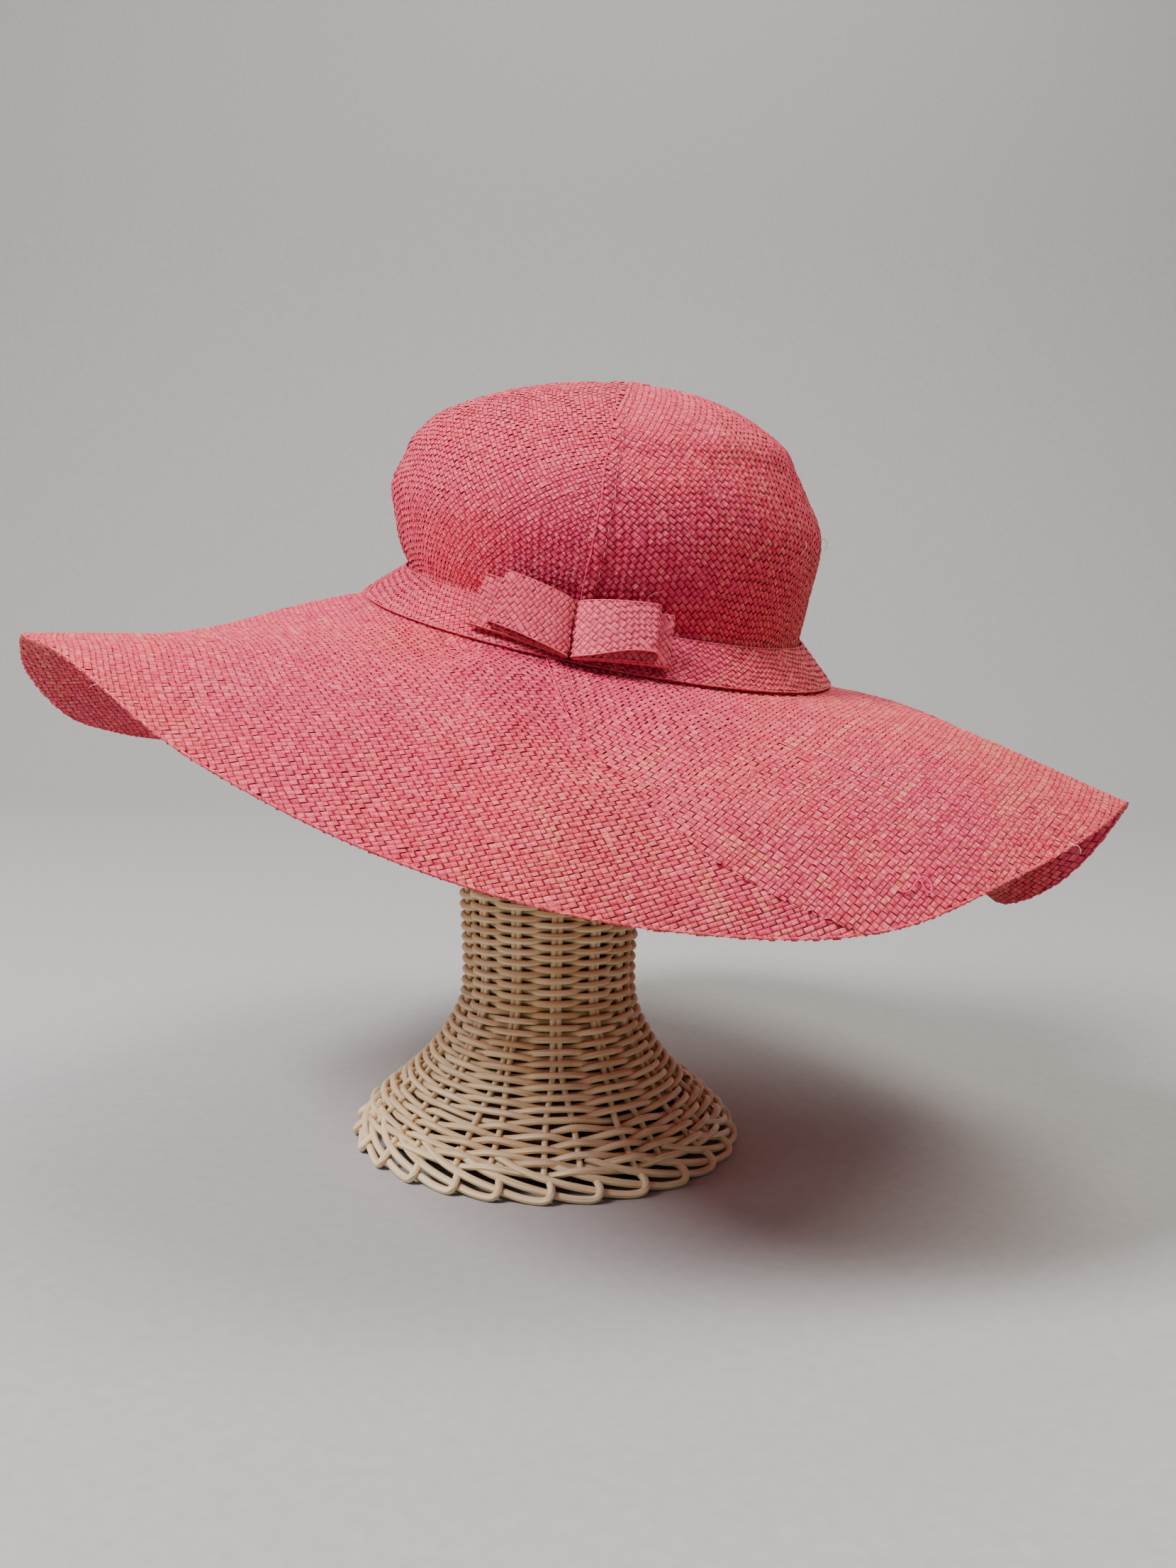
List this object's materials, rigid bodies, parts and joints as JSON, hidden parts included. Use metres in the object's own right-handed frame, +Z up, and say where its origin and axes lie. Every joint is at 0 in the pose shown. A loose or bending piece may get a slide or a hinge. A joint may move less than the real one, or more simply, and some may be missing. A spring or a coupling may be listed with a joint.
{
  "type": "floppy sun hat on a wicker hat stand",
  "caption": "Wide-brimmed floppy sun hat of woven raffia with a slanted band and a flat bow, resting aslant on a flared wicker hat stand.",
  "frame": {"origin": "on the floor, under the middle of the hat and stand's outline", "axes": "+Z up, -Y towards the front of the hat where the bow is, +X to the side where the hat has slipped down"},
  "size_m": [0.4692, 0.4173, 0.3305],
  "materials": {
    "raffia": "hand-woven raffia, matt with a faint sheen, uneven salmon pink to magenta",
    "raffia_strip": "pressed strip of bias-woven raffia, matt",
    "wicker": "plaited willow rods, satin honey tan"
  },
  "bodies": {
    "root": {"crown": "raffia", "brim": "raffia", "band": "raffia_strip", "bow_front": "raffia_strip", "bow_back": "raffia_strip", "stand_body": "wicker", "stand_head": "wicker", "stand_border": "wicker"}
  },
  "joints": []
}
